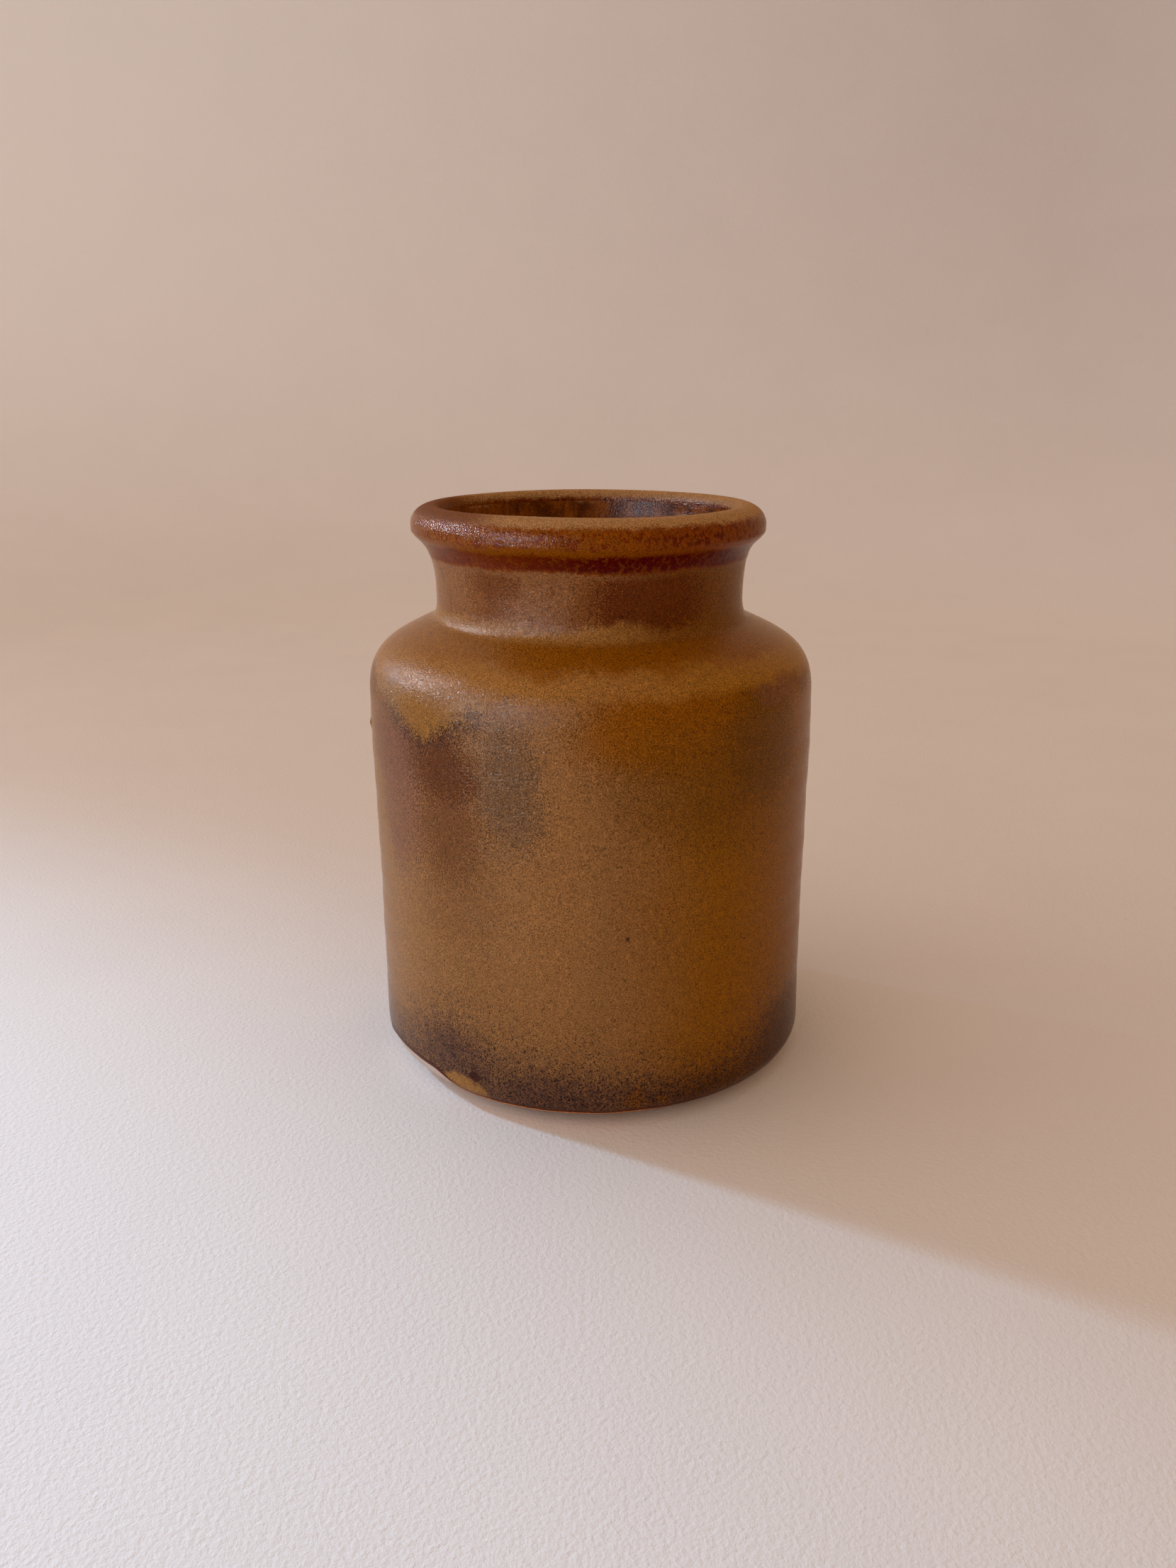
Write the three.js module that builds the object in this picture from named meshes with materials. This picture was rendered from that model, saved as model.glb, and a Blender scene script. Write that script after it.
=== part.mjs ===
// A small butter crock: one thrown piece of glazed stoneware, open at the top, with a short neck
// under a rolled rim. Millimetres, +Z up. The origin is the middle of the flat base.
import * as THREE from "three";

// Outside
const HEIGHT = 145;
const FOOT_RADIUS = 46; // the flat disc that the crock stands on
const HEEL_RADIUS = 57.3; // the wall where the rounded heel ends
const HEEL_HEIGHT = 7;
const WAIST_RADIUS = 56.8; // the wall's curve draws in slightly towards this
const WAIST_HEIGHT = 38;
const BODY_RADIUS = 57.5; // the widest part, just below the shoulder
const BODY_HEIGHT = 70;
const SHOULDER_HEIGHT = 98; // where the wall turns in to the shoulder
const SHOULDER_TURN = 12; // how slowly it turns, as the length of the curve's handles
const SHOULDER_SLOPE = THREE.MathUtils.degToRad(25.5); // where the shoulder meets the neck
const NECK_RADIUS = 39.1;
const NECK_FOOT_WIDTH = 1.9; // the soft crease between shoulder and neck
const NECK_FOOT_HEIGHT = 116.6;
const NECK_HEIGHT = 122.2; // the neck's narrowest place, above the crease
const BEAD_RADIUS = 44.85; // the rolled rim
const BEAD_HEIGHT = 140.2; // the height of its widest place
const BEAD_UNDERCUT = 17; // how far the neck runs up before it flares to the bead
const BEAD_BELLY = 5.6;
const LIP_RADIUS = 39.1; // the ring along the very top

// Inside
const MOUTH_RADIUS = 36.7;
const MOUTH_HEIGHT = 142;
const THROAT_RADIUS = 34;
const THROAT_TOP = 128;
const THROAT_BOTTOM = 116.5;
const THROAT_FLARE = 5; // the handles of the curve from mouth to throat
const CEILING_RADIUS = 38; // the inside of the shoulder starts here
const CEILING_HEIGHT = 111.4;
const CEILING_TURN = 10;
const CHAMBER_RADIUS = 51.5;
const CHAMBER_TOP = 97;
const FLOOR_HEIGHT = 7;
const FLOOR_FILLET = 10;

const SIDES = 64;

const at = (radius, height) => new THREE.Vector2(radius, height);
const DOWN_SHOULDER = at(Math.cos(SHOULDER_SLOPE), -Math.sin(SHOULDER_SLOPE));

// A quarter of an ellipse about (radius, height), from one angle to another.
function quarter(radius, height, width, rise, from, to) {
  return new THREE.EllipseCurve(radius, height, width, rise, from, to, to < from);
}

// Lays curves end to end. Each entry is a curve and its number of steps.
function outline(pieces) {
  const points = [at(0, 0)];
  for (const [curve, steps] of pieces) points.push(...curve.getPoints(steps).slice(1));
  return points;
}

// From the middle of the base up to the top of the rim.
function outside() {
  const heelWidth = HEEL_RADIUS - FOOT_RADIUS;
  const beadWidth = BEAD_RADIUS - LIP_RADIUS;
  const neckFoot = at(NECK_RADIUS + NECK_FOOT_WIDTH, NECK_FOOT_HEIGHT);
  const crease = at(NECK_RADIUS, NECK_FOOT_HEIGHT + NECK_FOOT_WIDTH * Math.tan(SHOULDER_SLOPE));
  const neck = at(NECK_RADIUS, NECK_HEIGHT);
  const shoulder = at(BODY_RADIUS, SHOULDER_HEIGHT);
  return [
    [new THREE.LineCurve(at(0, 0), at(FOOT_RADIUS, 0)), 1],
    [quarter(FOOT_RADIUS, HEEL_HEIGHT, heelWidth, HEEL_HEIGHT, -Math.PI / 2, 0), 7],
    [
      new THREE.CubicBezierCurve(
        at(HEEL_RADIUS, HEEL_HEIGHT),
        at(WAIST_RADIUS, WAIST_HEIGHT),
        at(BODY_RADIUS, BODY_HEIGHT),
        shoulder,
      ),
      6,
    ],
    [
      new THREE.CubicBezierCurve(
        shoulder,
        at(BODY_RADIUS, SHOULDER_HEIGHT + SHOULDER_TURN),
        neckFoot.clone().addScaledVector(DOWN_SHOULDER, SHOULDER_TURN),
        neckFoot,
      ),
      9,
    ],
    [new THREE.QuadraticBezierCurve(neckFoot, crease, neck), 4],
    [
      new THREE.CubicBezierCurve(
        neck,
        at(NECK_RADIUS, NECK_HEIGHT + BEAD_UNDERCUT),
        at(BEAD_RADIUS, BEAD_HEIGHT - BEAD_BELLY),
        at(BEAD_RADIUS, BEAD_HEIGHT),
      ),
      9,
    ],
    [quarter(LIP_RADIUS, BEAD_HEIGHT, beadWidth, HEIGHT - BEAD_HEIGHT, 0, Math.PI / 2), 6],
  ];
}

// From the top of the rim down to the middle of the floor.
function inside() {
  const throatCorner = CEILING_HEIGHT + (CEILING_RADIUS - THROAT_RADIUS) * Math.tan(SHOULDER_SLOPE);
  const ceiling = at(CEILING_RADIUS, CEILING_HEIGHT);
  const lipWidth = LIP_RADIUS - MOUTH_RADIUS;
  const corner = CHAMBER_RADIUS - FLOOR_FILLET;
  const cornerHeight = FLOOR_HEIGHT + FLOOR_FILLET;
  return [
    [quarter(LIP_RADIUS, MOUTH_HEIGHT, lipWidth, HEIGHT - MOUTH_HEIGHT, Math.PI / 2, Math.PI), 5],
    [
      new THREE.CubicBezierCurve(
        at(MOUTH_RADIUS, MOUTH_HEIGHT),
        at(MOUTH_RADIUS, MOUTH_HEIGHT - THROAT_FLARE),
        at(THROAT_RADIUS, THROAT_TOP + THROAT_FLARE),
        at(THROAT_RADIUS, THROAT_TOP),
      ),
      5,
    ],
    [new THREE.LineCurve(at(THROAT_RADIUS, THROAT_TOP), at(THROAT_RADIUS, THROAT_BOTTOM)), 1],
    [
      new THREE.QuadraticBezierCurve(
        at(THROAT_RADIUS, THROAT_BOTTOM),
        at(THROAT_RADIUS, throatCorner),
        ceiling,
      ),
      3,
    ],
    [
      new THREE.CubicBezierCurve(
        ceiling,
        ceiling.clone().addScaledVector(DOWN_SHOULDER, CEILING_TURN),
        at(CHAMBER_RADIUS, CHAMBER_TOP + CEILING_TURN),
        at(CHAMBER_RADIUS, CHAMBER_TOP),
      ),
      7,
    ],
    [new THREE.LineCurve(at(CHAMBER_RADIUS, CHAMBER_TOP), at(CHAMBER_RADIUS, cornerHeight)), 1],
    [quarter(corner, cornerHeight, FLOOR_FILLET, FLOOR_FILLET, 0, -Math.PI / 2), 5],
    [new THREE.LineCurve(at(corner, FLOOR_HEIGHT), at(0, FLOOR_HEIGHT)), 1],
  ];
}

function crockBody() {
  const profile = outline([...outside(), ...inside()]);
  const geometry = new THREE.LatheGeometry(profile, SIDES).rotateX(Math.PI / 2);
  const glaze = new THREE.MeshStandardMaterial({ color: 0x8c5a2d, roughness: 0.4, metalness: 0 });
  const mesh = new THREE.Mesh(geometry, glaze);
  mesh.name = "crock_body";
  return mesh;
}

const crock = new THREE.Group();
crock.add(crockBody());

export default crock;
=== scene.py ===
# The looks of a small butter crock: glazed stoneware, thrown on a wheel, with a rolled rim.
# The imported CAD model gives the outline. This script gives it a hand-made surface, its glazes,
# the bare clay under the foot, and a plain studio.
import math
import bpy
import numpy as np
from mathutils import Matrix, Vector


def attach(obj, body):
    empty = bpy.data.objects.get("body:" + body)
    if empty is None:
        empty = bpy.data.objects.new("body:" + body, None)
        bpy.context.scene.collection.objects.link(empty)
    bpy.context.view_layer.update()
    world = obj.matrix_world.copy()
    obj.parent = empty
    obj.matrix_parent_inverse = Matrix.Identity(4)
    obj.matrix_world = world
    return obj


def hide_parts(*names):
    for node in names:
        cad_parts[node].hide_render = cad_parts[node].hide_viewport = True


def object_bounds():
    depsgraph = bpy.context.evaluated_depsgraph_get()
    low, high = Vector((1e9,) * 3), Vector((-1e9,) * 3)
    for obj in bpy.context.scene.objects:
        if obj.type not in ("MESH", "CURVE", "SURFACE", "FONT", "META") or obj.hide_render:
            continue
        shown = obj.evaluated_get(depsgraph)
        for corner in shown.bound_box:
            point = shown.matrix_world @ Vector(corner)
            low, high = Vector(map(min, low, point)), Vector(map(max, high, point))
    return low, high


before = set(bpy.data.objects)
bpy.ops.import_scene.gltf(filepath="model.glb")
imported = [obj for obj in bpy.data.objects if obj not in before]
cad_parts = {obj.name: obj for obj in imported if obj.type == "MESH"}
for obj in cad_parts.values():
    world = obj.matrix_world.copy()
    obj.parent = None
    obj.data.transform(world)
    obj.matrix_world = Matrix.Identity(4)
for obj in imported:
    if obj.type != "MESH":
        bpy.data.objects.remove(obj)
cad_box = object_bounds()

MM = 0.001
CROCK = "crock_body"
HEIGHT = cad_box[1].z / MM
WALL_RADIUS = 57  # turns degrees into mm, for marks on the wall

# Where the skins meet, as heights in mm
CREASE = 118.2  # wall glaze to neck glaze, in the crease over the shoulder
INNER_LIP = 142.0  # neck glaze to inside glaze, just inside the mouth

# The coat of glaze, in mm
COAT = 0.3
COAT_EDGE = 0.5  # how far in from its lower edge the coat is rounded
TUCK = 0.05  # how deep that edge sits in the clay
OVERLAP = 1.2  # how far the clay carries on under the glaze

# The maker's hand, in mm
LEAN = 0.95  # how far the top stands to the left of the foot
RIM_SHIFT = 0.4  # and the rim from the neck
LUMPS = 0.1
RINGS = 0.04  # throwing rings on the wall
RING_PITCH = 8.5
INNER_RINGS = 0.2  # and inside, where nobody smoothed them
INNER_RING_PITCH = 9.5
FLARE = (127, 137)  # the heights between which the neck opens out to the rim

# The glaze's lower edge, in mm
EDGE_LOW = 3.1
EDGE_LEFT = 3.9  # how much higher it stops at the left of the front
EDGE_FAR_LEFT = 3.2
EDGE_BEHIND = 2.4
EDGE_WAVE = 0.14
EDGE_ROLL = 0.1  # the roll of glaze that gathered above it

# Ridges and a hollow round the rim: height, half width and how far each stands proud, in mm
RIM_MARKS = ((138.7, 0.5, 0.13), (136.6, 1.1, -0.09), (132.6, 0.8, 0.08))

# Small marks: azimuth in degrees, then height, half width, half height and how far each stands
# proud, in mm
NIB = (-80, 90.1, 0.8, 1.1, 0.5)
CHIP = (-30.6, 9.6, 1.1, 1.4, -0.16)
LIP_GRIT = ((-18.5, 0.6, 0.35, 0.35, 0.16), (12.5, 0.9, 0.35, 0.3, 0.14))  # from the very top

COLUMNS = 512  # points round each skin


# ---------------------------------------------------------------- small sums

def clamp(value):
    """Held between 0 and 1."""
    return np.clip(value, 0.0, 1.0)


def ease(value, start, end):
    """0 at start, 1 at end, with soft corners."""
    share = clamp((value - start) / (end - start))
    return share * share * (3 - 2 * share)


def hump(value, middle, width):
    """1 at the middle, and falling off softly to both sides."""
    return np.exp(-(((value - middle) / width) ** 2))


def turned(azimuth, middle):
    """Degrees from one azimuth to another, the short way round."""
    return (azimuth - middle + 180) % 360 - 180


def ripple(seed, waves, around, shortest):
    """A smooth random field over azimuth (degrees) and path (mm) that closes round the crock."""
    chance = np.random.default_rng(seed)
    turns = chance.integers(0, around + 1, waves)
    pitch = chance.uniform(-1, 1, waves) * math.tau / shortest
    start = chance.uniform(0, math.tau, waves)

    def field(azimuth, path):
        angle = np.radians(azimuth)
        total = sum(np.cos(n * angle + k * path + p) for n, k, p in zip(turns, pitch, start))
        return total / math.sqrt(waves)

    return field


# ---------------------------------------------------------------- the outline, from the CAD node

def half_section(node):
    """The CAD node's outline on its +X side as (radius, height) in mm: from the middle of the
    base, up the outside, over the rim and down to the middle of the inside floor."""
    vertices = node.data.vertices

    def place(index):
        x, y, z = vertices[index].co / MM
        return (round(x, 2), round(z, 2)) if abs(y) < 0.001 and x > -0.001 else None

    beside = {}
    for edge in node.data.edges:
        one, other = map(place, edge.vertices)
        if one and other and one != other:
            beside.setdefault(one, set()).add(other)
            beside.setdefault(other, set()).add(one)
    here = min(beside)
    path = [here]
    while beside[here] - set(path):
        here = (beside[here] - set(path)).pop()
        path.append(here)
    return np.array(path)


class Outline:
    """A smooth curve through the half section. Places on it are distances along it, in mm."""

    STRAIGHT = 3  # a step this many times longer than the next one is a straight line

    def __init__(self, points):
        step = np.diff(points, axis=0)
        length = np.hypot(*step.T)
        slope = step / length[:, None]
        self.points = points
        self.knots = np.concatenate([[0], np.cumsum(length)])
        before, after = length[:-1, None], length[1:, None]
        between = (before * slope[:-1] + after * slope[1:]) / (before + after)
        between = np.where(before > self.STRAIGHT * after, slope[:-1], between)
        between = np.where(after > self.STRAIGHT * before, slope[1:], between)
        self.tangent = np.concatenate([slope[:1], between, slope[-1:]])
        self.top_index = int(np.argmax(points[:, 1]))
        self.top = self.knots[self.top_index]
        self.end = self.knots[-1]
        self.foot = self.knots[1]

    def at(self, path):
        """Radius and height at each distance."""
        path = np.clip(path, 0, self.end)
        i = np.clip(np.searchsorted(self.knots, path) - 1, 0, len(self.knots) - 2)
        span = (self.knots[i + 1] - self.knots[i])[..., None]
        t = (path - self.knots[i])[..., None] / span
        start, end = self.points[i], self.points[i + 1]
        go, arrive = self.tangent[i] * span, self.tangent[i + 1] * span
        near = (1 + 2 * t) * (1 - t) ** 2 * start + t * (1 - t) ** 2 * go
        far = t * t * (3 - 2 * t) * end - t * t * (1 - t) * arrive
        return near + far

    def outside(self, height):
        """The distance at which the outside reaches a height."""
        up = slice(1, self.top_index + 1)
        return np.interp(height, self.points[up, 1], self.knots[up])

    def inside(self, height):
        """The distance at which the inside is down at a height."""
        down = slice(self.top_index, None)
        return np.interp(-height, -self.points[down, 1], self.knots[down])


outline = Outline(half_section(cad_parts[CROCK]))


# ---------------------------------------------------------------- the hand-made surface

lump_field = ripple(seed=3, waves=14, around=5, shortest=24)
ring_field = ripple(seed=5, waves=10, around=3, shortest=40)
edge_field = ripple(seed=8, waves=12, around=26, shortest=400)


def glaze_edge(azimuth):
    """The height of the glaze's lower edge, in mm: it stops short on the left and behind."""
    left = ease(azimuth, -84, -62) * ease(azimuth, -32, -46)
    far_left = hump(turned(azimuth, -120), 0, 26)
    behind = hump(turned(azimuth, 152), 0, 24)
    rise = EDGE_LEFT * left + EDGE_FAR_LEFT * far_left + EDGE_BEHIND * behind
    return EDGE_LOW + rise + EDGE_WAVE * edge_field(azimuth, 0.0)


def spot(azimuth, height, mark):
    """A soft oval mark. Its width is as on the wall, so it is narrower on the rim."""
    middle, level, wide, tall, proud = mark
    across = np.radians(turned(azimuth, middle)) * WALL_RADIUS
    return proud * np.exp(-((across / wide) ** 2) - ((height - level) / tall) ** 2)


def outside_relief(path, azimuth, height):
    """What the maker's fingers, and grit under the glaze, left on the outside."""
    on_wall = ease(height, 12, 22) * ease(height, 104, 92)
    wobble = ring_field(azimuth, path)
    rings = RINGS * np.sin(path * math.tau / RING_PITCH + 0.9 * wobble) * on_wall
    rim = sum(proud * hump(height, level, wide) for level, wide, proud in RIM_MARKS)
    marks = spot(azimuth, height, NIB) + spot(azimuth, height, CHIP)
    lip_grit = sum(spot(azimuth, path - outline.top, grit) for grit in LIP_GRIT)
    return rings + rim + marks + lip_grit


def inside_relief(path, azimuth):
    """Throwing rings on the inner wall and floor."""
    on_wall = ease(path, outline.inside(112), outline.inside(100))
    on_wall = on_wall * ease(path, outline.end - 2, outline.end - 12)
    wobble = ring_field(azimuth, path)
    return INNER_RINGS * np.sin(path * math.tau / INNER_RING_PITCH + wobble) * on_wall


def relief(path, azimuth, height):
    """Millimetres that the surface stands proud of the outline, without the coat's edge."""
    off_base = ease(path, outline.foot, outline.foot + 9)
    off_middle = ease(path, outline.end, outline.end - 12)
    lumps = LUMPS * lump_field(azimuth, path) * off_base * off_middle
    outer = path < outline.inside(INNER_LIP)
    return lumps + np.where(
        outer, outside_relief(path, azimuth, height), inside_relief(path, azimuth)
    )


def coat_edge(path, azimuth):
    """The coat's rounded lower edge, and the roll of glaze that gathered above it."""
    up = path - outline.outside(glaze_edge(azimuth))
    inward = 1 - clamp(up / COAT_EDGE)
    rounded = -(COAT + TUCK) * (1 - np.sqrt(1 - inward**2))
    return rounded + EDGE_ROLL * hump(up, 1.0, 0.7)


def at_lift(path, azimuth, lift):
    """Points in metres at distances along the outline, that far off it in mm."""
    step = 0.02
    radius, height = np.moveaxis(outline.at(path), -1, 0)
    run, rise = np.moveaxis(outline.at(path + step) - outline.at(path - step), -1, 0)
    length = np.hypot(run, rise)
    radius = radius + lift * rise / length
    height = height - lift * run / length
    angle = np.radians(azimuth)
    sideways = -LEAN * height / HEIGHT - RIM_SHIFT * ease(height, *FLARE)
    x = radius * np.sin(angle) + sideways
    y = -radius * np.cos(angle)
    return np.stack([x, y, height], axis=-1) * MM


def on_glaze(path, azimuth):
    """The glazed surface with the coat's lower edge."""
    height = outline.at(path)[..., 1]
    return at_lift(path, azimuth, relief(path, azimuth, height) + coat_edge(path, azimuth))


def on_bare_glaze(path, azimuth):
    """The glazed surface away from the foot, where the coat has no edge."""
    height = outline.at(path)[..., 1]
    return at_lift(path, azimuth, relief(path, azimuth, height))


def on_clay(path, azimuth):
    """The clay, which lies the coat's thickness below the glaze above the foot."""
    height = outline.at(path)[..., 1]
    under = -COAT * ease(path, outline.foot + 0.5, outline.foot + 4)
    return at_lift(path, azimuth, relief(path, azimuth, height) + under)


def grid_faces(count):
    """Four-sided faces between that many rows of points, closed round the crock."""
    row, column = np.mgrid[0 : count - 1, 0:COLUMNS]
    beside = (column + 1) % COLUMNS
    corners = [(row, column), (row, beside), (row + 1, beside), (row + 1, column)]
    return np.stack([r * COLUMNS + c for r, c in corners], axis=-1).reshape(-1, 4).tolist()


def fan(middle, start, facing):
    """Triangles from a middle point to the row that begins at start, facing up or down."""
    faces = []
    for column in range(COLUMNS):
        pair = [start + column, start + (column + 1) % COLUMNS]
        faces.append([middle, *(pair if facing > 0 else pair[::-1])])
    return faces


def build_skin(name, path, surface, middle_first=False, middle_last=False):
    """A skin from a grid of distances along the outline (rows) at each azimuth (columns).
    Its normals come from the surface itself, so that two skins that share a row look joined."""
    azimuth = np.broadcast_to(np.arange(COLUMNS) * 360 / COLUMNS - 180, path.shape)
    near = 0.15  # the neighbours that give a normal are this far off, in mm and in degrees
    up = surface(path + near, azimuth) - surface(path - near, azimuth)
    round_it = surface(path, azimuth + near) - surface(path, azimuth - near)
    normals = np.cross(round_it, up).reshape(-1, 3)
    points = surface(path, azimuth).reshape(-1, 3)
    faces = grid_faces(len(path))
    ends = []
    if middle_first:
        ends.append((0, -1.0))
    if middle_last:
        ends.append((len(path) - 1, 1.0))
    for row, facing in ends:
        start = row * COLUMNS
        faces.extend(fan(len(points), start, facing))
        points = np.vstack([points, points[start : start + COLUMNS].mean(axis=0)])
        normals = np.vstack([normals, [0, 0, facing]])
    normals /= np.linalg.norm(normals, axis=1, keepdims=True)
    mesh = bpy.data.meshes.new(name)
    mesh.from_pydata(points.tolist(), [], faces)
    mesh.shade_smooth()
    mesh.normals_split_custom_set_from_vertices(normals.tolist())
    skin = bpy.data.objects.new(name, mesh)
    bpy.context.scene.collection.objects.link(skin)
    return skin


def spaced(start, end, gap):
    """Even shares from start to end, about a gap apart."""
    return np.linspace(start, end, max(2, round(abs(end - start) / gap) + 1))


def all_round(path):
    """The same distances at every azimuth."""
    return np.repeat(path[:, None], COLUMNS, axis=1)


def edge_path():
    """The glaze's lower edge at each column, as a distance along the outline."""
    return outline.outside(glaze_edge(np.arange(COLUMNS) * 360 / COLUMNS - 180))


def wall_skin():
    """From the glaze's wavy lower edge up to the crease, with close rows at the edge."""
    edge = edge_path()
    fine_top, close_top = 0.4, 3.0
    fine = fine_top * np.linspace(0, 1, 9) ** 2
    close = spaced(fine_top, close_top, 0.3)[1:]
    crease = outline.outside(CREASE)
    tall = spaced(close_top, crease - edge.mean(), 0.8)[1:]
    share = np.concatenate([fine, close, tall]) / (crease - edge.mean())
    path = edge + share[:, None] * (crease - edge)
    skin = build_skin("wall_glaze", path, on_glaze)
    above = skin.data.attributes.new("above_edge", "FLOAT", "POINT")
    above.data.foreach_set("value", (path - edge).ravel())
    return skin


def neck_skin():
    """From the crease up the neck, over the rolled rim and just into the mouth."""
    path = spaced(outline.outside(CREASE), outline.inside(INNER_LIP), 0.45)
    return build_skin("neck_glaze", all_round(path), on_bare_glaze)


def inside_skin():
    """From just inside the mouth down to the middle of the floor."""
    path = spaced(outline.inside(INNER_LIP), outline.end - 0.5, 1.6)
    return build_skin("inside_glaze", all_round(path), on_bare_glaze, middle_last=True)


def foot_skin():
    """The bare base, and the heel up to a little under the glaze."""
    base = all_round(spaced(0.5, outline.foot, 2.5)[:-1])
    heel = np.linspace(0, 1, 42)[:, None] * (edge_path() + OVERLAP - outline.foot)
    path = np.concatenate([base, outline.foot + heel])
    return build_skin("bare_foot", path, on_clay, middle_first=True)


# ---------------------------------------------------------------- node trees as formulas

def plug(tree, value, socket):
    """Sets an input to a number or colour, or links it to a wire."""
    if isinstance(value, Wire):
        tree.links.new(value.socket, socket)
    else:
        socket.default_value = value


class Wire:
    """One output of a node. Sums of wires make Math nodes, so that a pattern reads as a sum."""

    def __init__(self, tree, socket):
        self.tree = tree
        self.socket = socket

    def maths(self, operation, *others):
        """The result of a Math node on this wire and others."""
        node = self.tree.nodes.new("ShaderNodeMath")
        node.operation = operation
        for value, socket in zip((self, *others), node.inputs):
            plug(self.tree, value, socket)
        return Wire(self.tree, node.outputs[0])

    def __add__(self, other):
        return self.maths("ADD", other)

    def __sub__(self, other):
        return self.maths("SUBTRACT", other)

    def __mul__(self, other):
        return self.maths("MULTIPLY", other)

    def __truediv__(self, other):
        return self.maths("DIVIDE", other)

    def ease(self, start, end):
        """0 at start, 1 at end, with soft corners."""
        node = self.tree.nodes.new("ShaderNodeMapRange")
        node.interpolation_type = "SMOOTHSTEP"
        for value, socket in zip((self, start, end), node.inputs):
            plug(self.tree, value, socket)
        return Wire(self.tree, node.outputs[0])

    def band(self, start, end, soft):
        """1 between two values and 0 outside them."""
        return self.ease(start - soft, start + soft) * self.ease(end + soft, end - soft)

    def away_from(self, azimuth):
        """Degrees from an azimuth, the short way round."""
        return (self - azimuth).maths("WRAP", 180.0, -180.0)


class Skin:
    """A material's node tree, with the place being shaded: point (mm), azimuth (degrees from
    the front, right is positive), height (mm) and side, which is its x (mm)."""

    def __init__(self, name):
        self.material = bpy.data.materials.new(name)
        self.material.use_nodes = True
        self.tree = self.material.node_tree
        self.shader = self.tree.nodes["Principled BSDF"]
        where = Wire(self.tree, self.node("ShaderNodeTexCoord").outputs["Object"])
        scale = self.node("ShaderNodeVectorMath")
        scale.operation = "SCALE"
        plug(self.tree, where, scale.inputs[0])
        scale.inputs["Scale"].default_value = 1 / MM
        self.point = Wire(self.tree, scale.outputs[0])
        split = self.node("ShaderNodeSeparateXYZ")
        plug(self.tree, self.point, split.inputs[0])
        x, y, z = (Wire(self.tree, output) for output in split.outputs)
        self.azimuth = x.maths("ARCTAN2", y * -1.0) * math.degrees(1)
        self.side = x
        self.height = z

    def node(self, kind):
        return self.tree.nodes.new(kind)

    def noise(self, size, detail=2.0, roughness=0.5, stretch=None, channels=False):
        """Noise about 0.5 with patches of about that size in mm, or three unlike ones."""
        point = self.point
        if stretch:
            shaped = self.node("ShaderNodeVectorMath")
            shaped.operation = "MULTIPLY"
            plug(self.tree, point, shaped.inputs[0])
            shaped.inputs[1].default_value = stretch
            point = Wire(self.tree, shaped.outputs[0])
        node = self.node("ShaderNodeTexNoise")
        plug(self.tree, point, node.inputs["Vector"])
        node.inputs["Scale"].default_value = 1 / size
        node.inputs["Detail"].default_value = detail
        node.inputs["Roughness"].default_value = roughness
        if not channels:
            return Wire(self.tree, node.outputs["Fac"])
        split = self.node("ShaderNodeSeparateColor")
        plug(self.tree, Wire(self.tree, node.outputs["Color"]), split.inputs[0])
        return [Wire(self.tree, output) for output in split.outputs]

    def mix(self, under, over, share):
        """One colour over another: all of the first at share 0, all of the second at 1."""
        node = self.node("ShaderNodeMix")
        node.data_type = "RGBA"
        for value, socket in zip((share, under, over), (node.inputs[i] for i in (0, 6, 7))):
            plug(self.tree, value, socket)
        return Wire(self.tree, node.outputs[2])

    def scaled(self, colour, by):
        """A colour made lighter or darker."""
        node = self.node("ShaderNodeVectorMath")
        node.operation = "SCALE"
        plug(self.tree, colour, node.inputs[0])
        plug(self.tree, by, node.inputs["Scale"])
        return Wire(self.tree, node.outputs[0])

    def finish(self, colour, roughness, height, sheen):
        """Colour, roughness, relief (mm) and strength of reflection to the shader."""
        bump = self.node("ShaderNodeBump")
        bump.inputs["Strength"].default_value = 1.0
        bump.inputs["Distance"].default_value = MM
        plug(self.tree, height, bump.inputs["Height"])
        plug(self.tree, colour, self.shader.inputs["Base Color"])
        self.shader.inputs["Specular IOR Level"].default_value = sheen
        plug(self.tree, roughness, self.shader.inputs["Roughness"])
        self.tree.links.new(bump.outputs["Normal"], self.shader.inputs["Normal"])
        return self.material


def linear(level):
    """The amount of light that a screen's level from 0 to 255 stands for (the sRGB curve)."""
    if level < 11:
        return level / 255 / 12.92
    return ((level / 255 + 0.055) / 1.055) ** 2.4


def tint(red, green, blue):
    """A colour from its usual 0 to 255 values."""
    return (linear(red), linear(green), linear(blue), 1.0)


# ---------------------------------------------------------------- glazes

# Strength of reflection
GLAZE_SHEEN = 0.075
INSIDE_SHEEN = 0.06
CLAY_SHEEN = 0.2
PAPER_SHEEN = 0.2

# Roughness
GLAZE_ROUGH = 0.14
GLAZE_UNEVEN = 0.2
DRY_RIM_ROUGH = 0.45  # added on the very top
INSIDE_ROUGH = 0.24
INSIDE_UNEVEN = 0.15
CLAY_ROUGH = 0.8
CLAY_UNEVEN = 0.1
PAPER_ROUGH = 0.85

# The glaze's pattern: sizes in mm
DRIFT = 13  # slow wandering of the borders between colours
FRAY = 2.2  # their ragged edges
BLOTCH = 1.5  # soft blotches
GRAIN = 0.33  # crystals
PEEL = 0.45  # orange peel

# How strongly crystals and blotches lighten and darken the colour, about its middle shade
CRYSTALS = (3.0, 0.5)
MIDDLE_SHADE = 1.02

# The relief of orange peel and of blotches, in mm
PEEL_DEPTH = 0.2
BLOTCH_DEPTH = 0.05

# Dark specks: their size in mm, the noise's roughness, how much likelier they are at the foot,
# the noise at which one begins and is full, and how dark it is
SPECKS = ((0.3, 0.55, 0.17, 0.685, 0.73, 0.9), (0.58, 0.6, 0.15, 0.70, 0.74, 0.85))

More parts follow.
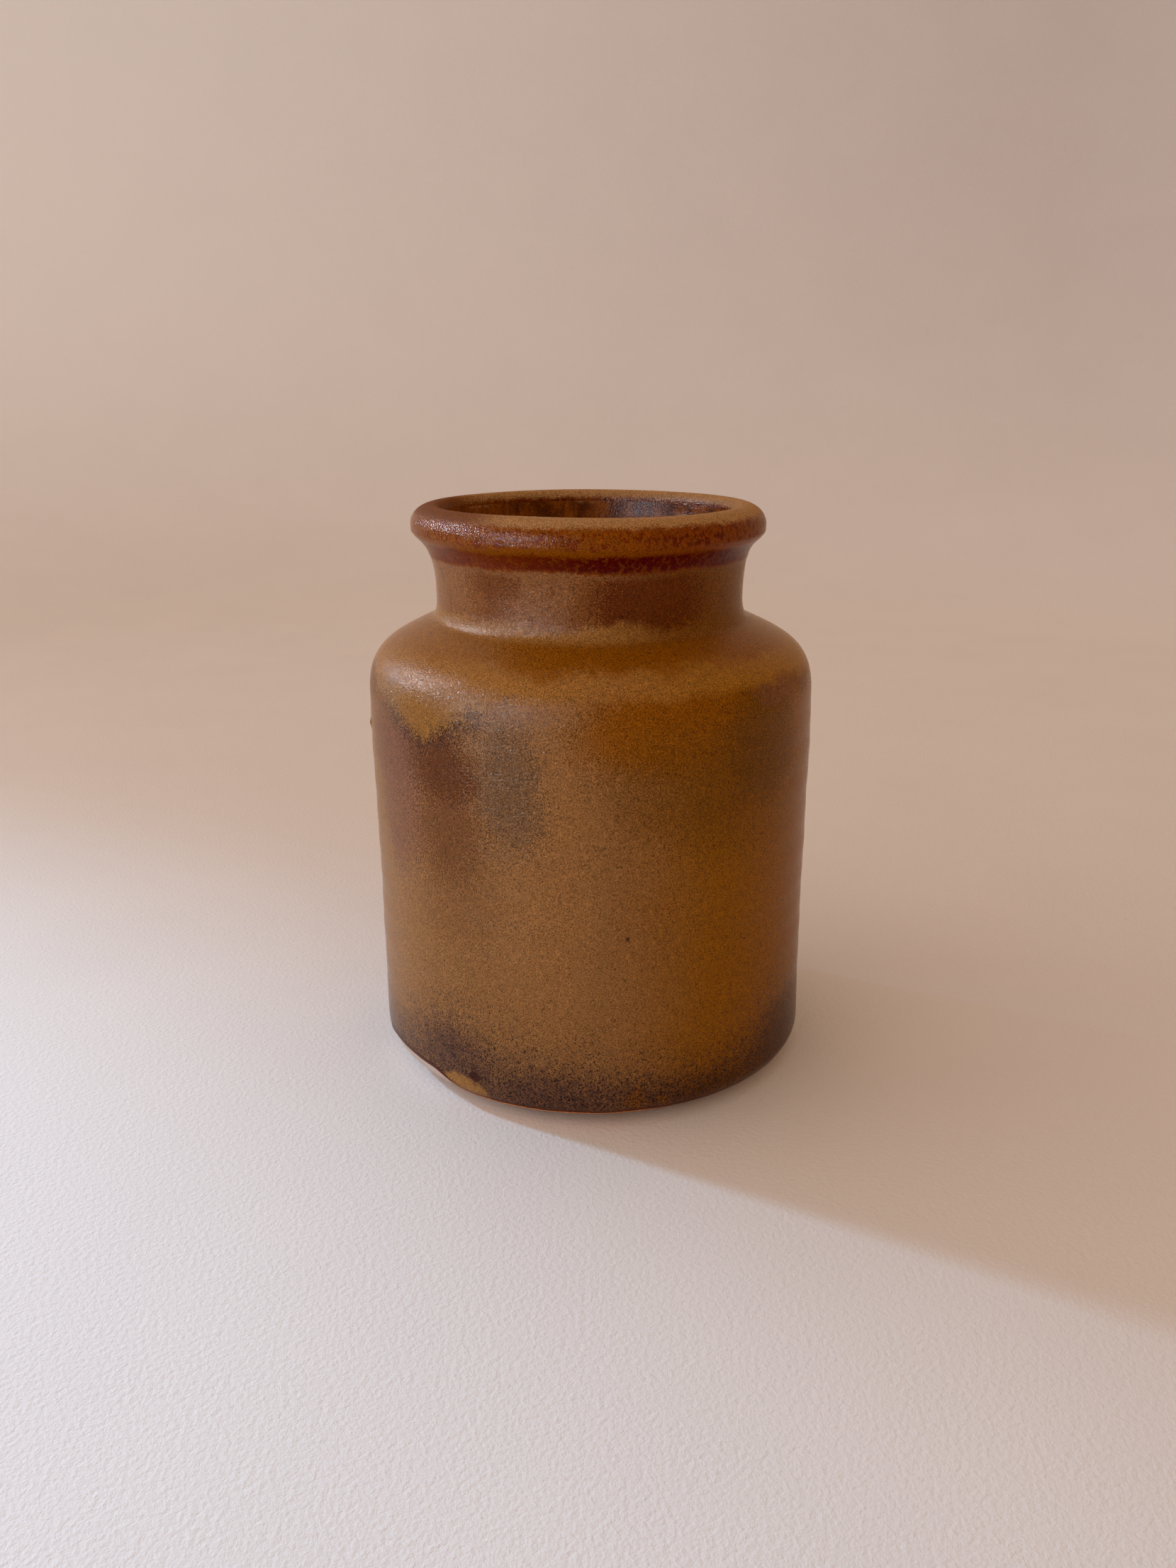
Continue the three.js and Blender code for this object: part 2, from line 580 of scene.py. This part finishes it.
# How high the plum glaze at the foot reaches, in mm, and where it reaches higher or lower:
# azimuth and width in degrees, then mm
CREST = 16.5
CREST_RISES = ((-36, 16, 8), (62, 20, 8), (26, 9, -3), (-130, 22, 7), (170, 24, 5))

# Where straw-coloured glaze ran down: its azimuth, the height of its point in mm and half its
# width in degrees
TONGUES = ((-44, 95.0, 36), (148, 90, 34), (-142, 97, 30))

# Colours
# tan and gold are partly the glaze's own colours and partly painted light: cool light on the left,
# warm light on the right
TAN = tint(147, 105, 60)
GOLD = tint(141, 89, 2)
BISCUIT = tint(158, 114, 66)
OCHRE = tint(142, 85, 0)
DEEP_OCHRE = tint(141, 85, 0)
PALE_BAND = tint(166, 119, 58)
GOLD_BAND = tint(163, 114, 36)
STRAW = tint(157, 122, 86)
DUN = tint(150, 105, 42)
RUST = tint(98, 50, 6)
UMBER = tint(113, 71, 2)
MAUVE = tint(129, 86, 64)
SLATE = tint(126, 94, 62)
PLUM = tint(94, 62, 52)
PLUM_RED = tint(82, 42, 6)
INK = tint(38, 28, 30)
CREASE_TAN = tint(164, 120, 62)
CREASE_GOLD = tint(129, 83, 22)
NECK_ROSE = tint(148, 103, 62)
NECK_OLIVE = tint(126, 78, 8)
NECK_BROWN = tint(124, 70, 8)
NECK_DARK = tint(101, 45, 0)
AMBER = tint(138, 75, 0)
AMBER_DEEP = tint(130, 63, 0)
AMBER_RED = tint(112, 40, 0)
DARK_RED = tint(84, 4, 0)
RIM_TAN = tint(176, 136, 86)
OCHRE_RUN = tint(156, 112, 58)
EDGE_RED = tint(78, 24, 4)
# painted highlight: the lit floor's light on the glaze's lower lip, shown as bright orange
PAINTED_LIP_HIGHLIGHT = tint(228, 142, 66)
SCORCH = tint(58, 26, 16)
PINHOLE = tint(58, 40, 24)
INSIDE_BROWN = tint(150, 86, 12)
INSIDE_STREAK = tint(98, 48, 8)
# painted shade of the deep inside
INSIDE_DEEP_SHADE = tint(92, 42, 8)
INSIDE_DEEP_SHADE_STREAK = tint(60, 20, 6)
CLAY = tint(200, 180, 166)
CLAY_PINK = tint(196, 160, 134)
CLAY_IRON = tint(96, 62, 44)
CLAY_SMUDGE = tint(150, 118, 96)


class Glaze(Skin):
    """A skin with the mottling that all the glazes share."""

    def __init__(self, name):
        super().__init__(name)
        self.drift = self.noise(DRIFT, detail=2, channels=True)
        self.fray = self.noise(FRAY, detail=3, roughness=0.6, channels=True)
        self.grain = self.noise(GRAIN, detail=2, roughness=0.6)
        self.blotch = self.noise(BLOTCH, detail=2, roughness=0.6)
        self.across = self.azimuth + (self.drift[0] - 0.5) * 9.0 + (self.fray[0] - 0.5) * 4.0
        self.up = self.height + (self.drift[1] - 0.5) * 7.0 + (self.fray[1] - 0.5) * 4.0

    def patch(self, azimuth, height, wide, tall, soft=0.5, grainy=0.5):
        """A frayed oval patch: half sizes in degrees and mm."""
        across = self.across.away_from(azimuth) / wide
        up = (self.up - height) / tall
        away = across * across + up * up + (self.grain - 0.5) * grainy * 4.0
        return away.ease(1 + soft, 1 - soft)

    def fleck(self, azimuth, height, wide, tall):
        """A small ragged spot that stays exactly where the relief has it."""
        across = (self.azimuth - azimuth) / wide
        up = (self.height - height) / tall
        away = across * across + up * up + (self.fray[0] - 0.5) * 2.0
        return away.ease(1.2, 0.7)

    def patches(self, colour, over, places, soft=0.5, grainy=0.5):
        """A second colour in patches: azimuth, height, half sizes and share of each."""
        for azimuth, height, wide, tall, share in places:
            mask = self.patch(azimuth, height, wide, tall, soft, grainy)
            colour = self.mix(colour, over, mask * share)
        return colour

    def mottled(self, colour):
        """Fine light and dark grains, as crystals leave in a matt glaze."""
        fine, coarse = CRYSTALS
        shade = (self.grain - 0.5) * fine + (self.blotch - 0.5) * coarse + MIDDLE_SHADE
        return self.scaled(colour, shade)

    def peel(self):
        """The fine orange-peel surface of the glaze, in mm, which breaks up its highlights."""
        fine = self.noise(PEEL, detail=2, roughness=0.6)
        return (fine - 0.5) * PEEL_DEPTH + (self.blotch - 0.5) * BLOTCH_DEPTH

    def satin(self):
        """The roughness of the glaze outside, which changes a little from place to place."""
        uneven = (self.blotch - 0.5) * GLAZE_UNEVEN + (self.grain - 0.5) * GLAZE_UNEVEN
        return uneven + GLAZE_ROUGH


def on_gold_side(skin):
    """How far the colour goes from tan to gold: to the right of the front, and behind. It is
    partly the glaze's own colour and partly painted light: cooler light on the left, warmer light
    on the right.
    """
    # partly painted light: the right side is given the warmer gold colour
    right = skin.across.ease(-2, 34) * skin.across.ease(155, 110)
    behind = skin.patch(-165, 60, 26, 300, soft=0.95, grainy=0.3)
    return right.maths("MAXIMUM", behind)


def crease_colour(skin, gold):
    """The pale glaze in the crease between shoulder and neck."""
    return skin.mix(CREASE_TAN, CREASE_GOLD, gold)


def wall_colour(skin, gold):
    """The wall: tan and gold, with ochre, umber, mauve, rust and slate where the glaze broke."""
    colour = skin.mix(TAN, GOLD, gold)
    colour = skin.patches(colour, BISCUIT, (
        (-10, 68, 11, 44, 0.75), (-62, 45, 14, 26, 0.4), (-100, 50, 20, 20, 0.5),
        (135, 50, 24, 20, 0.5)), soft=0.9)
    colour = skin.patches(colour, OCHRE, (
        (17, 99, 22, 11, 0.95), (112, 92, 22, 20, 0.7), (-160, 96, 26, 16, 0.7)), soft=0.6)
    colour = skin.patches(colour, UMBER, (
        (45, 94, 13, 13, 0.8), (28, 86, 26, 12, 0.4), (40, 78, 22, 12, 0.3),
        (178, 88, 14, 12, 0.6), (-120, 70, 12, 18, 0.4)), soft=0.8)
    colour = skin.patches(colour, MAUVE, (
        (-58, 92, 13, 12, 0.9), (-55, 80, 9, 22, 0.75), (50, 104.5, 9, 3, 0.5),
        (-150, 70, 14, 22, 0.5), (100, 66, 14, 20, 0.4)), soft=0.7, grainy=0.8)
    colour = skin.patches(colour, RUST, (
        (-38, 90, 11, 10, 0.9), (-37, 78, 11, 17, 0.55), (-35, 62, 12, 18, 0.2),
        (66, 105, 7, 3, 0.5), (-75, 104, 8, 7, 0.6), (142, 84, 12, 16, 0.7),
        (-112, 92, 14, 9, 0.6)), soft=0.8, grainy=0.9)
    colour = skin.patches(colour, SLATE, (
        (-19, 86, 8, 15, 0.9), (-58, 99, 8, 4, 0.5), (126, 78, 9, 16, 0.5)),
        soft=0.8, grainy=1.0)
    return skin.patches(colour, INK, (
        (-20, 84, 8, 14, 0.16), (-29, 102, 4, 3.6, 0.5), (38, 90, 24, 14, 0.08)),
        soft=1.0, grainy=2.2)


def add_tongues(skin, colour):
    """Straw-coloured glaze that ran down off the shoulder to a point, with a sooty edge."""
    for azimuth, low, reach in TONGUES:
        away = skin.across.away_from(azimuth)
        slant = away.maths("ABSOLUTE") * 0.36 + (away * away) * 0.004
        above = skin.up - (slant + low) + (skin.grain - 0.5) * 7.0 + (skin.blotch - 0.5) * 4.0
        near = away.maths("ABSOLUTE").ease(reach, reach * 0.6)
        straw = skin.mix(STRAW, DUN, away.ease(-16, -2))
        colour = skin.mix(colour, straw, above.ease(-1.5, 1.5) * near * 0.95)
        soot = above.band(-4.5, 1.0, 1.8) * skin.grain.ease(0.56, 0.44)
        centre = away.maths("ABSOLUTE").ease(reach * 0.62, reach * 0.25)
        colour = skin.mix(colour, INK, soot * centre * 0.62)
    return colour


def add_shoulder(skin, colour, gold):
    """A pale band round the turn of the shoulder and a deep ochre one over it."""
    pale = skin.mix(PALE_BAND, GOLD_BAND, gold)
    colour = skin.mix(colour, pale, skin.up.ease(104.8, 108.6) * 0.9)
    front = skin.patch(18, 114, 46, 90, soft=0.7) * 0.8 + 0.2
    deep = skin.mix(skin.mix(PALE_BAND, DEEP_OCHRE, 0.3), DEEP_OCHRE, front)
    colour = skin.mix(colour, deep, skin.up.ease(110.6, 113.4) * 0.95)
    return skin.mix(colour, crease_colour(skin, gold), skin.height.ease(115.6, 117.6))


def above_edge(skin):
    """Millimetres above the coat's lower edge, a little uneven."""
    edge = skin.node("ShaderNodeAttribute")
    edge.attribute_name = "above_edge"
    return Wire(skin.tree, edge.outputs["Fac"]) + (skin.fray[0] - 0.5) * 0.5


def plum_share(skin):
    """How far down the plum glaze a place is: 0 at its wavy crest and 1 at the stand."""
    crest = skin.drift[0] * 8.0 + CREST
    for azimuth, width, rise in CREST_RISES:
        away = skin.azimuth.away_from(azimuth) / width
        crest = crest + (away * away * -1.0).maths("EXPONENT") * rise
    return (crest - skin.height) / crest


def add_plum(skin, colour, gold, down):
    """Plum glaze that thickens towards the foot."""
    plum = skin.mix(PLUM, PLUM_RED, gold)
    frayed = down + (skin.fray[2] - 0.5) * 1.6 + (skin.grain - 0.5) * 1.4
    colour = skin.mix(colour, plum, frayed.ease(0.0, 1.0) * 0.75)
    return skin.patches(colour, plum, (
        (-38, 15, 9, 7, 0.5), (-10, 10, 13, 5, 0.5), (24, 8, 13, 4, 0.5), (64, 14, 16, 9, 0.6),
        (-150, 12, 20, 8, 0.6), (130, 11, 22, 7, 0.6)), soft=0.8, grainy=1.4)


def add_specks(skin, colour, down):
    """Dark specks, closer together towards the foot."""
    density = down.ease(-0.8, 0.75)
    for size, rough, more, start, full, share in SPECKS:
        speck = skin.noise(size, detail=2, roughness=rough) + density * more
        colour = skin.mix(colour, INK, speck.ease(start, full) * share)
    return colour


def add_run_edge(skin, colour):
    """The coat's lower edge: dark red, wider at the front, with a painted highlight along the very
    edge at the front: an orange line that stands for the lit floor's light on the glaze's lip.
    """
    above = above_edge(skin)
    wide = skin.azimuth.ease(-48, -28) * 0.65 + 0.35
    colour = skin.mix(colour, EDGE_RED, (above / wide).ease(2.8, 1.5) * 0.9)
    # painted highlight: at the front the very edge turns bright orange, as the lit floor shines on
    # the glaze's lip
    front = skin.azimuth.ease(-40, -34) * skin.azimuth.ease(28, 2)
    thin = skin.mix(EDGE_RED, PAINTED_LIP_HIGHLIGHT, front)
    return skin.mix(colour, thin, above.ease(1.5, 1.1) * 0.95)


def add_foot(skin, colour, gold):
    """Plum glaze with specks, a few ochre spots and runs, and the edge of the coat."""
    down = plum_share(skin)
    colour = add_plum(skin, colour, gold, down)
    colour = skin.patches(colour, OCHRE, ((10, 8, 2.6, 3, 0.6), (17, 6.5, 2, 2, 0.4)), soft=0.5)
    colour = add_specks(skin, colour, down)
    colour = skin.patches(colour, OCHRE_RUN, ((-34, 5.8, 6, 2.6, 0.95),), soft=0.4)
    return add_run_edge(skin, colour)


def add_flaws(skin, colour):
    """A scorched chip near the foot and one pinhole."""
    colour = skin.mix(colour, SCORCH, skin.fleck(-30.6, 9.7, 2.0, 1.3) * 0.9)
    return skin.mix(colour, PINHOLE, skin.fleck(8, 50.4, 0.5, 0.6) * 0.8)


def wall_material():
    skin = Glaze("wall_glaze")
    gold = on_gold_side(skin)
    colour = wall_colour(skin, gold)
    colour = add_tongues(skin, colour)
    colour = add_shoulder(skin, colour, gold)
    colour = add_foot(skin, colour, gold)
    colour = skin.mottled(add_flaws(skin, colour))
    return skin.finish(colour, skin.satin(), skin.peel(), GLAZE_SHEEN)


def neck_ground(skin, gold):
    """The neck's glaze before its patches."""
    return skin.mix(NECK_ROSE, NECK_OLIVE, gold)


def neck_colour(skin, gold):
    """The neck, rosy and olive with brown patches and streaks, over the pale crease."""
    colour = neck_ground(skin, gold)
    colour = skin.patches(colour, NECK_BROWN, (
        (-37, 127, 11, 9, 0.55), (2, 127, 10, 20, 0.6), (-120, 125, 22, 9, 0.6),
        (130, 125, 18, 9, 0.6)), soft=0.5, grainy=0.8)
    colour = skin.patches(colour, NECK_DARK, (
        (19, 126, 18, 12, 0.85), (38, 127, 9, 9, 0.3), (-36, 129, 8, 4, 0.35),
        (170, 126, 20, 9, 0.6), (-95, 125, 14, 8, 0.4)), soft=0.5, grainy=0.8)
    streak = skin.noise(2.6, detail=3, roughness=0.6, stretch=(1, 1, 0.3))
    colour = skin.mix(colour, NECK_DARK, streak.ease(0.52, 0.70) * 0.35)
    return skin.mix(crease_colour(skin, gold), colour, skin.up.ease(118.7, 121.4))


def add_bead(skin, colour, gold):
    """Under the rim the glaze pooled dark red; on the roll it is amber with red freckles."""
    pool = skin.height + (skin.fray[1] - 0.5) * 1.8 + (skin.drift[1] - 0.5) * 2.0
    colour = skin.mix(colour, neck_ground(skin, gold), pool.band(131.2, 132.8, 0.7) * 0.5)
    colour = skin.mix(colour, skin.mix(AMBER, AMBER_DEEP, gold), pool.ease(132.2, 133.0))
    red = skin.mix(AMBER_RED, DARK_RED, (skin.azimuth + (skin.fray[0] - 0.5) * 14).ease(-34, 4))
    front = skin.patch(-4, 135.6, 66, 60, soft=0.3, grainy=0.1) * 0.6 + 0.4
    thin = skin.noise(1.1, detail=3, roughness=0.6, stretch=(1, 1, 0.7))
    broken = thin.ease(0.34, 0.52) * 0.5 + 0.5
    colour = skin.mix(colour, red, pool.band(132.9, 136.8, 0.7) * front * broken)
    freckles = thin.ease(0.50, 0.58) * pool.band(138.4, 142.6, 0.6)
    return skin.mix(colour, skin.mix(AMBER_RED, DARK_RED, gold), freckles * 0.75)


def add_rim(skin, colour):
    """The very top is a drier tan, browner on the left."""
    top = skin.height + (skin.fray[1] - 0.5) * 1.8 + (skin.grain - 0.5) * 1.4
    tan = skin.mix(RIM_TAN, NECK_BROWN, skin.patch(-78, 143, 44, 60, soft=0.5, grainy=0.2))
    return skin.mix(colour, tan, top.ease(142.5, 143.7) * 0.95)


def neck_material():
    skin = Glaze("neck_glaze")
    gold = on_gold_side(skin)
    colour = add_bead(skin, neck_colour(skin, gold), gold)
    colour = skin.mottled(add_rim(skin, colour))
    dry = skin.height.ease(142.4, 144.0) * DRY_RIM_ROUGH
    return skin.finish(colour, skin.satin() + dry, skin.peel(), GLAZE_SHEEN)


def inside_material():
    """Glossy brown that ran down in streaks. It is redder and darker with depth, which is painted
    shade of the deep inside.
    """
    skin = Glaze("inside_glaze")
    streak = skin.noise(4.5, detail=4, roughness=0.65, stretch=(1, 1, 0.45))
    brown = skin.mix(INSIDE_BROWN, INSIDE_STREAK, streak.ease(0.4, 0.62))
    # painted shade: the colour darkens and reddens from the mouth down into the crock
    deep = skin.mix(INSIDE_DEEP_SHADE, INSIDE_DEEP_SHADE_STREAK, streak.ease(0.4, 0.6))
    colour = skin.mix(deep, brown, skin.up.ease(118, 140))
    colour = skin.mix(colour, RIM_TAN, skin.up.ease(141.5, 144))
    roughness = (skin.blotch - 0.5) * INSIDE_UNEVEN + INSIDE_ROUGH
    return skin.finish(skin.mottled(colour), roughness, skin.peel() * 0.7, INSIDE_SHEEN)


def clay_material():
    """Pale buff stoneware: dry, fine grit, a few iron specks, smudged where it stands."""
    skin = Glaze("bare_clay")
    colour = skin.mix(CLAY, CLAY_PINK, skin.drift[0].ease(0.4, 0.7) * 0.6)
    iron = skin.noise(0.6, detail=1).ease(0.74, 0.80)
    colour = skin.mix(colour, CLAY_IRON, iron * 0.7)
    smudge = skin.height.ease(0.8, 0.0) * skin.blotch.ease(0.35, 0.65) * 0.35
    colour = skin.mix(colour, CLAY_SMUDGE, smudge)
    height = (skin.grain - 0.5) * 0.06 + (skin.blotch - 0.5) * 0.04
    roughness = (skin.grain - 0.5) * CLAY_UNEVEN + CLAY_ROUGH
    return skin.finish(colour, roughness, height, CLAY_SHEEN)


# ---------------------------------------------------------------- the crock

def add_to_crock(skin, material):
    """Gives a skin its material and puts it in the place of the CAD node's surface."""
    skin.data.materials.append(material)
    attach(skin, "root")
    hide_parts(CROCK)
    return skin


def make_crock():
    """The four skins of the one piece of stoneware."""
    return [
        add_to_crock(wall_skin(), wall_material()),
        add_to_crock(neck_skin(), neck_material()),
        add_to_crock(inside_skin(), inside_material()),
        add_to_crock(foot_skin(), clay_material()),
    ]


# ---------------------------------------------------------------- the studio

# The paper: its colour, and in mm the size of its faint clouds and its grain
PAPER = (0.87, 0.88, 0.92)
CLOUD = 60
CLOUD_SHARE = 0.06
TOOTH = 1.2
TOOTH_DEPTH = 0.27

# The paper's shape, in metres
FLOOR_RINGS = (0.001, 0.2, 0.66)
CURVE_RADIUS = 0.5
WALL_TOP = 1.7
PAPER_SIDES = 128

# The backdrop's painted glow, with distances in mm
GLOW = (0.276, 0.252, 0.245, 1.0)
GLOW_AT_MIDDLE = 0.42
GLOW_TO_LEFT = 0.00093  # how much stronger it is for each mm to the left
GLOW_RISE = 0.0067  # how fast it sets in above the floor
# painted shade: the share by which the backdrop's colour darkens above the floor
BACKDROP_PAINTED_SHADE = 0.15

# Light from all round: red, green and blue, and how each changes towards the right
ROOM = (0.61, 0.42, 0.3)
ROOM_TO_RIGHT = (0.0, -0.14, -0.42)
ROOM_STRENGTH = 0.9
ROOM_CHANGE = (-0.36, 0.1, 0.1)  # of its strength, towards the right, the back and the top

# The lights: their colours, and the place that the panels face, in metres
DAYLIGHT = (0.48, 0.765, 1.0)
SHINE = (0.8, 0.9, 1.0)
WARM = (1.0, 0.85, 0.74)
MIDDLE = (0.0, 0.0, 0.07)

# The camera, in mm and degrees
CAMERA_PLACE = (-1.3, -326.7, 174.3)
CAMERA_TILT = 17.67  # below level
LENS = 29.115
SENSOR = 36


def paper_colour(skin):
    """White with faint clouds."""
    cloud = skin.noise(CLOUD, detail=2)
    return skin.scaled(PAPER, (cloud - 0.5) * CLOUD_SHARE + 1.0)


def paper_tooth(skin):
    """The faint relief of plain drawing paper, in mm."""
    return (skin.noise(TOOTH, detail=3, roughness=0.6) - 0.5) * TOOTH_DEPTH


def paper_material():
    """Plain pale paper."""
    skin = Skin("paper")
    return skin.finish(paper_colour(skin), PAPER_ROUGH, paper_tooth(skin), PAPER_SHEEN)


def backdrop_material():
    """The same paper, with a faint painted glow that is stronger to the left, where the room is
    brighter, and that sets in above the floor, where painted shade also darkens the paper's
    colour."""
    skin = Skin("backdrop")
    rise = (skin.height * -GLOW_RISE).maths("EXPONENT") * -1.0 + 1.0
    # painted shade: the backdrop's colour darkens above the floor
    colour = skin.scaled(paper_colour(skin), rise * -BACKDROP_PAINTED_SHADE + 1.0)
    # painted light: the backdrop glows, more to the left and higher above the floor
    leftward = skin.side * -GLOW_TO_LEFT + GLOW_AT_MIDDLE
    leftward = leftward.maths("MAXIMUM", 0.0).maths("MINIMUM", 1.0)
    skin.shader.inputs["Emission Color"].default_value = GLOW
    plug(skin.tree, leftward * rise, skin.shader.inputs["Emission Strength"])
    return skin.finish(colour, PAPER_ROUGH, paper_tooth(skin), PAPER_SHEEN)


def turned_sheet(name, profile):
    """A round sheet from (radius, height) pairs in metres."""
    points = []
    for radius, height in profile:
        for side in range(PAPER_SIDES):
            angle = math.tau * side / PAPER_SIDES
            points.append((radius * math.cos(angle), radius * math.sin(angle), height))
    faces = []
    for ring in range(len(profile) - 1):
        low, high = ring * PAPER_SIDES, (ring + 1) * PAPER_SIDES
        for side in range(PAPER_SIDES):
            other = (side + 1) % PAPER_SIDES
            faces.append((low + side, high + side, high + other, low + other))
    mesh = bpy.data.meshes.new(name)
    mesh.from_pydata(points, [], faces)
    mesh.flip_normals()
    mesh.shade_smooth()
    sheet = bpy.data.objects.new(name, mesh)
    bpy.context.scene.collection.objects.link(sheet)
    return sheet


def make_paper():
    """A round paper floor that sweeps up far out into a backdrop. Only the camera sees the
    backdrop, so the light comes in past it."""
    floor = turned_sheet("floor", [(radius, 0.0) for radius in FLOOR_RINGS])
    floor.data.materials.append(paper_material())
    edge = FLOOR_RINGS[-1]
    sweep = []
    for degrees in range(0, 91, 6):
        turn = math.radians(degrees)
        sweep.append((edge + CURVE_RADIUS * math.sin(turn), CURVE_RADIUS * (1 - math.cos(turn))))
    backdrop = turned_sheet("backdrop", [*sweep, (edge + CURVE_RADIUS, WALL_TOP)])
    backdrop.visible_diffuse = False
    backdrop.visible_glossy = False
    backdrop.visible_shadow = False
    backdrop.data.materials.append(backdrop_material())
    return floor


def make_sky():
    """Room light from all round: stronger and cooler from the left, dimmer and warmer from the
    right, as in a wooden room."""
    world = bpy.data.worlds.new("room")
    world.use_nodes = True
    tree = world.node_tree
    way = Wire(tree, tree.nodes.new("ShaderNodeTexCoord").outputs["Generated"])
    split = tree.nodes.new("ShaderNodeSeparateXYZ")
    plug(tree, way, split.inputs[0])
    x, y, z = (Wire(tree, output) for output in split.outputs)
    light = tree.nodes.new("ShaderNodeCombineColor")
    right, back, top = ROOM_CHANGE
    strength = x * right + y * back + z * top + ROOM_STRENGTH
    for amount, change, socket in zip(ROOM, ROOM_TO_RIGHT, light.inputs):
        plug(tree, (x * change + 1.0) * amount * strength, socket)
    plug(tree, Wire(tree, light.outputs[0]), tree.nodes["Background"].inputs["Color"])
    bpy.context.scene.world = world


def light_only(light, receivers):
    """Keeps a light to some of the objects. Everything still blocks it."""
    group = bpy.data.collections.new(light.name + "_lights")
    for receiver in receivers:
        group.objects.link(receiver)
    light.light_linking.receiver_collection = group


def place_light(name, data, azimuth, elevation, distance, target):
    """A light at that azimuth (degrees from the front, left is negative) and elevation."""
    light = bpy.data.objects.new(name, data)
    bpy.context.scene.collection.objects.link(light)
    a, e = math.radians(azimuth), math.radians(elevation)
    away = Vector((math.sin(a) * math.cos(e), -math.cos(a) * math.cos(e), math.sin(e)))
    light.location = Vector(target) + distance * away
    light.rotation_euler = away.to_track_quat("Z", "Y").to_euler()
    light.visible_camera = False
    return light


def add_panel(name, azimuth, elevation, distance, size, power, colour):
    """A soft rectangular light that faces the crock."""
    data = bpy.data.lights.new(name, "AREA")
    data.shape = "RECTANGLE"
    data.size, data.size_y = size
    data.energy = power
    data.color = colour
    return place_light(name, data, azimuth, elevation, distance, MIDDLE)


def add_beam(name, azimuth, elevation, distance, target, radius, power, colour, angle, blend):
    """Daylight through a window: a soft-edged round beam."""
    data = bpy.data.lights.new(name, "SPOT")
    data.shadow_soft_size = radius
    data.energy = power
    data.color = colour
    data.spot_size = math.radians(angle)
    data.spot_blend = blend
    return place_light(name, data, azimuth, elevation, distance, target)


def add_window(crock, floor):
    """Daylight from a window behind on the left, as two lights: one for the crock and, from
    further off, one for the floor, whose patch ends in a long slanting edge."""
    on_crock = add_beam(
        "window", azimuth=-120, elevation=33, distance=0.9, target=(-0.265, -0.32, 0.0),
        radius=0.09, power=36, colour=DAYLIGHT, angle=43, blend=0.35,
    )
    light_only(on_crock, crock)
    on_floor = add_beam(
        "window_patch", azimuth=-123.4, elevation=35.6, distance=2.337,
        target=(-0.309, -0.141, 0.0), radius=0.11, power=205, colour=DAYLIGHT, angle=15.4,
        blend=0.75,
    )
    light_only(on_floor, [floor])


def add_side_glow():
    """Dim warm light off a wall on the left, which leaves no highlight."""
    glow = add_panel(
        "side_glow", azimuth=-85, elevation=24, distance=0.8, size=(0.5, 0.4), power=0.6,
        colour=WARM,
    )
    glow.visible_glossy = False


def add_highlights():
    """Two panels that show only in the glaze: a window on the left, and a long low strip in
    front of it on the left."""
    high = add_panel(
        "window_shine", azimuth=-106, elevation=25, distance=0.9, size=(0.18, 0.1), power=13,
        colour=SHINE,
    )
    low = add_panel(
        "low_shine", azimuth=-49, elevation=13, distance=0.8, size=(0.34, 0.06), power=14,
        colour=SHINE,
    )
    high.visible_diffuse = False
    low.visible_diffuse = False


def make_lights(crock, floor):
    """All the lights but the room's."""
    add_window(crock, floor)
    add_side_glow()
    add_highlights()


def make_camera():
    """As a phone held over a table would see it: close, and a little from above."""
    data = bpy.data.cameras.new("camera")
    data.lens = LENS
    data.sensor_width = SENSOR
    data.clip_start = 0.01
    data.clip_end = 20
    camera = bpy.data.objects.new("camera", data)
    bpy.context.scene.collection.objects.link(camera)
    camera.location = [place * MM for place in CAMERA_PLACE]
    camera.rotation_euler = (math.radians(90 - CAMERA_TILT), 0, 0)
    bpy.context.scene.camera = camera


make_camera()
crock = make_crock()
floor = make_paper()
make_sky()
make_lights(crock, floor)
bpy.context.scene.view_settings.view_transform = "Standard"
